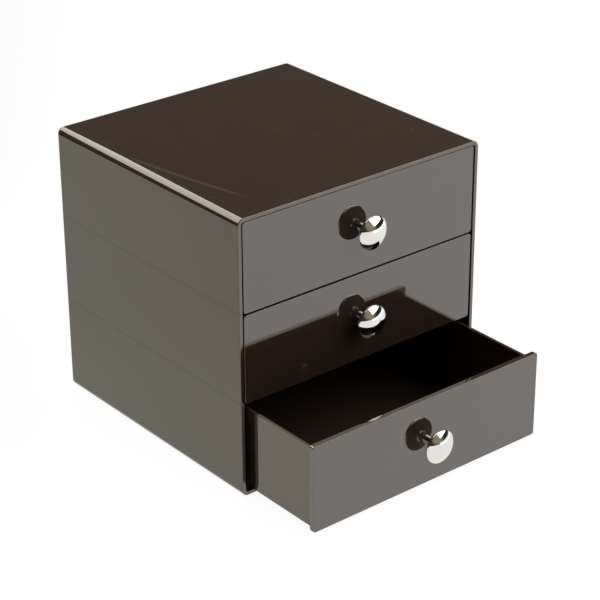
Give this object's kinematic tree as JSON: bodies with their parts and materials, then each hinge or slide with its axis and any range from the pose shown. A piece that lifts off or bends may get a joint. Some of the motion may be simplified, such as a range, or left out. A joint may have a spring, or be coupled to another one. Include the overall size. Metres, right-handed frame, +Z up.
{
  "type": "countertop drawer organizer",
  "caption": "Small glossy plastic countertop organizer with a stack of sliding drawers in a one-piece casing, each drawer with a round chrome knob.",
  "frame": {"origin": "centre of the casing's flat base, on the plane of the base; the bumper pads reach 0.8 mm below it", "axes": "+Z up, +X to the right seen from the front, +Y from the drawer fronts to the back"},
  "size_m": [0.165, 0.2295, 0.1618],
  "materials": {
    "casing_plastic": "polished moulding, dark espresso brown",
    "face_plastic": "polished flat panel, dark espresso brown",
    "tray_plastic": "moulded gloss, dark espresso brown",
    "knob_chrome": "bright chrome plate",
    "screw_steel": "zinc plated steel",
    "pad_rubber": "matt, soft"
  },
  "bodies": {
    "casing": {"casing_shell": "casing_plastic", "bumper_pad_front_left": "pad_rubber", "bumper_pad_front_right": "pad_rubber", "bumper_pad_back_left": "pad_rubber", "bumper_pad_back_right": "pad_rubber"},
    "drawer_top": {"drawer_tray_top": "tray_plastic", "drawer_face_top": "face_plastic", "knob_top": "knob_chrome", "knob_washer_top": "screw_steel", "knob_screw_top": "screw_steel"},
    "drawer_middle": {"drawer_tray_middle": "tray_plastic", "drawer_face_middle": "face_plastic", "knob_middle": "knob_chrome", "knob_washer_middle": "screw_steel", "knob_screw_middle": "screw_steel"},
    "drawer_bottom": {"drawer_tray_bottom": "tray_plastic", "drawer_face_bottom": "face_plastic", "knob_bottom": "knob_chrome", "knob_washer_bottom": "screw_steel", "knob_screw_bottom": "screw_steel"}
  },
  "joints": [
    {"name": "drawer_top_slide", "type": "slide", "parent": "casing", "child": "drawer_top", "axis": [0, -1, 0], "range_m": [0, 0.115]},
    {"name": "drawer_middle_slide", "type": "slide", "parent": "casing", "child": "drawer_middle", "axis": [0, -1, 0], "range_m": [0, 0.115]},
    {"name": "drawer_bottom_slide", "type": "slide", "parent": "casing", "child": "drawer_bottom", "axis": [0, -1, 0], "range_m": [-0.055, 0.06]}
  ]
}
